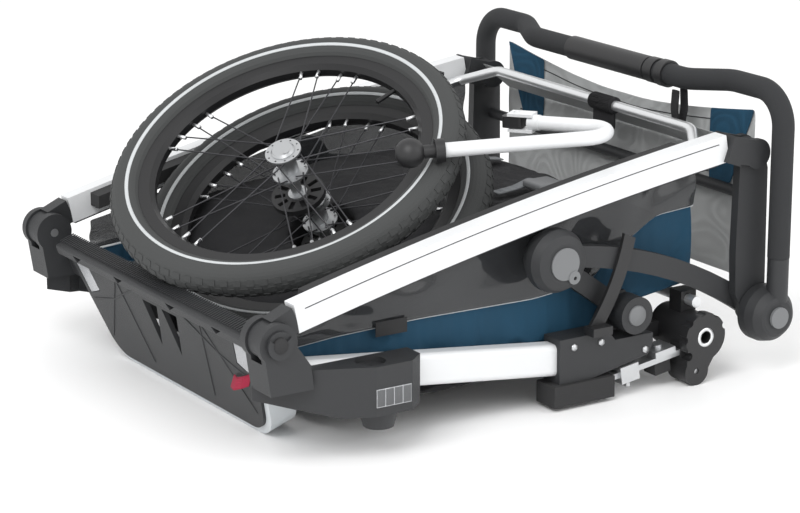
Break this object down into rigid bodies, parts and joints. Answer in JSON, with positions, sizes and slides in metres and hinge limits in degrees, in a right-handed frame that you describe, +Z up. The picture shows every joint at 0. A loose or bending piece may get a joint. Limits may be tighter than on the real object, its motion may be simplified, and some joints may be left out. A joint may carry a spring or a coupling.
{
  "type": "child bicycle trailer",
  "caption": "Child bicycle trailer folded flat, with its spoked wheels and hitch arm stowed inside a white side frame and a rear push handlebar.",
  "frame": {"origin": "on the floor, under the middle of the folded trailer's box", "axes": "+X to the trailer's rear, where the handlebar is; +Y to its right side; +Z up"},
  "size_m": [0.846, 0.75, 0.4432],
  "materials": {
    "moulding": "fine grained dark grey moulded nylon",
    "black_moulding": "black moulded nylon, satin",
    "beam": "white powder coat",
    "bumper": "light silver grey moulding",
    "reflector": "silver grey retroreflector",
    "red_webbing": "woven red webbing",
    "black_webbing": "woven black webbing",
    "harness_webbing": "woven grey webbing",
    "steel": "zinc plated",
    "rubber": "matt black",
    "silver_tube": "satin anodised",
    "seat_fabric": "black woven polyester",
    "side_fabric": "petrol blue coated polyester",
    "grey_fabric": "light grey coated polyester",
    "hub_metal": "satin, anodised",
    "window_film": "smoke tinted soft film",
    "foam": "closed cell foam",
    "grey_button": "mid grey moulding",
    "tyre": "grey black rubber",
    "rim": "black anodised",
    "spoke_steel": "stainless spokes, plated nipples"
  },
  "bodies": {
    "base": {"front_panel": "moulding", "bumper_band": "bumper", "side_rails": "beam", "corner_housings": "moulding", "wings": "moulding", "reflectors": "reflector", "pull_strap": "red_webbing", "base_pins": "steel", "rail_brackets": "moulding", "rubber_blocks": "rubber", "leaf_springs": "steel", "axle_sockets": "black_moulding", "rear_tube": "silver_tube", "rear_beam": "black_moulding", "folded_seat": "seat_fabric", "side_skirts": "side_fabric", "harness": "harness_webbing", "upper_axle": "hub_metal", "lower_axle": "hub_metal"},
    "left_front_knob": {"left_front_knob": "moulding"},
    "right_front_knob": {"right_front_knob": "moulding"},
    "spring_clamps": {"spring_clamps": "steel"},
    "brake_pedal": {"brake_pedal": "black_moulding"},
    "left_brake_pin": {"left_brake_pin": "steel"},
    "right_brake_pin": {"right_brake_pin": "steel"},
    "upper_wheel": {"upper_tyre": "tyre", "upper_rim": "rim", "upper_spokes": "spoke_steel", "upper_hub": "hub_metal", "upper_ratchet": "black_moulding"},
    "lower_wheel": {"lower_tyre": "tyre", "lower_rim": "rim", "lower_spokes": "spoke_steel", "lower_hub": "hub_metal", "lower_ratchet": "black_moulding"},
    "upper_release_button": {"upper_release_button": "hub_metal"},
    "lower_release_button": {"lower_release_button": "hub_metal"},
    "side_frame": {"pillars": "beam", "pillar_joints": "moulding", "gaskets": "rubber", "side_windows": "window_film", "cross_tube": "silver_tube", "roof_panel": "grey_fabric", "hitch_arm": "beam", "hitch_ball": "black_moulding"},
    "hitch_latch": {"hitch_latch": "black_moulding"},
    "rear_frame": {"rear_posts": "moulding", "rear_wall": "grey_fabric"},
    "handlebar": {"handlebar_tube": "silver_tube", "handlebar_grip": "foam", "handle_console": "black_moulding", "handle_hubs": "moulding", "wrist_strap": "black_webbing"},
    "left_handle_button": {"left_handle_button": "grey_button"},
    "right_handle_button": {"right_handle_button": "grey_button"},
    "upper_bars": {"upper_bars": "moulding", "fold_hubs": "moulding"},
    "lock_discs": {"lock_discs": "grey_button"},
    "fold_hook": {"fold_hook": "black_moulding"},
    "lower_links": {"lower_links": "moulding"}
  },
  "joints": [
    {"name": "frame_fold", "type": "hinge", "parent": "base", "child": "side_frame", "pos_m": [-0.396, 0, 0.172], "axis": [0, -1, 0], "range_deg": [0, 36]},
    {"name": "rear_frame_fold", "type": "hinge", "parent": "side_frame", "child": "rear_frame", "pos_m": [0.364, 0, 0.316], "axis": [0, -1, 0], "range_deg": [0, 6.8]},
    {"name": "upper_bar_fold", "type": "hinge", "parent": "rear_frame", "child": "upper_bars", "pos_m": [0.383, 0, 0.088], "axis": [0, -1, 0], "range_deg": [0, 31.72]},
    {"name": "lower_link_fold", "type": "hinge", "parent": "base", "child": "lower_links", "pos_m": [0.169, 0, 0.115], "axis": [0, -1, 0], "range_deg": [-21.24, 0]},
    {"name": "handlebar_swing", "type": "hinge", "parent": "rear_frame", "child": "handlebar", "pos_m": [0.383, 0, 0.088], "axis": [0, 1, 0], "range_deg": [0, 95]},
    {"name": "left_handle_button_press", "type": "slide", "parent": "handlebar", "child": "left_handle_button", "axis": [0, 1, 0], "range_m": [0, 0.0035], "stiffness_N_per_m": 400},
    {"name": "right_handle_button_press", "type": "slide", "parent": "handlebar", "child": "right_handle_button", "axis": [0, -1, 0], "range_m": [0, 0.0035], "stiffness_N_per_m": 400},
    {"name": "lock_disc_turn", "type": "hinge", "parent": "upper_bars", "child": "lock_discs", "pos_m": [0.034, 0, 0.212], "axis": [0, 1, 0], "range_deg": [0, 35], "stiffness_Nm_per_rad": 0.5},
    {"name": "fold_hook_swing", "type": "hinge", "parent": "upper_bars", "child": "fold_hook", "pos_m": [0.155, -0.318, 0.197], "axis": [0, 1, 0], "range_deg": [0, 30]},
    {"name": "left_front_knob_turn", "type": "hinge", "parent": "base", "child": "left_front_knob", "pos_m": [-0.396, -0.345, 0.172], "axis": [0, 1, 0], "range_deg": [0, 90]},
    {"name": "right_front_knob_turn", "type": "hinge", "parent": "base", "child": "right_front_knob", "pos_m": [-0.396, 0.345, 0.172], "axis": [0, -1, 0], "range_deg": [0, 90]},
    {"name": "spring_clamp_slide", "type": "slide", "parent": "base", "child": "spring_clamps", "axis": [0.9891, 0, 0.1473], "range_m": [0, 0.02]},
    {"name": "brake_pedal_press", "type": "hinge", "parent": "base", "child": "brake_pedal", "pos_m": [0.284, 0, 0.112], "axis": [0, 1, 0], "range_deg": [0, 20]},
    {"name": "left_brake_pin_slide", "type": "slide", "parent": "base", "child": "left_brake_pin", "axis": [0, -1, 0], "range_m": [0, 0.008]},
    {"name": "right_brake_pin_slide", "type": "slide", "parent": "base", "child": "right_brake_pin", "axis": [0, 1, 0], "range_m": [0, 0.008]},
    {"name": "upper_wheel_spin", "type": "hinge", "parent": "base", "child": "upper_wheel", "pos_m": [-0.18, 0.005, 0.306], "axis": [-0.4389, -0.2439, 0.8648], "continuous": true},
    {"name": "lower_wheel_spin", "type": "hinge", "parent": "base", "child": "lower_wheel", "pos_m": [-0.12349, 0.02122, 0.22559], "axis": [-0.4389, -0.2439, 0.8648], "continuous": true},
    {"name": "upper_release_press", "type": "slide", "parent": "base", "child": "upper_release_button", "axis": [0.4389, 0.2439, -0.8648], "range_m": [0, 0.003], "stiffness_N_per_m": 200},
    {"name": "lower_release_press", "type": "slide", "parent": "base", "child": "lower_release_button", "axis": [0.4389, 0.2439, -0.8648], "range_m": [0, 0.003], "stiffness_N_per_m": 200},
    {"name": "hitch_latch_turn", "type": "hinge", "parent": "side_frame", "child": "hitch_latch", "pos_m": [0.09809, -0.14385, 0.35698], "axis": [0.0605, 0, -0.9982], "range_deg": [0, 70]}
  ],
  "couplings": [
    {"joint": "rear_frame_fold", "follows": "frame_fold", "ratio": 0.189},
    {"joint": "upper_bar_fold", "follows": "frame_fold", "ratio": 0.881},
    {"joint": "lower_link_fold", "follows": "frame_fold", "ratio": -0.59},
    {"joint": "left_brake_pin_slide", "follows": "brake_pedal_press", "m_per_rad": 0.0229},
    {"joint": "right_brake_pin_slide", "follows": "brake_pedal_press", "m_per_rad": 0.0229}
  ]
}
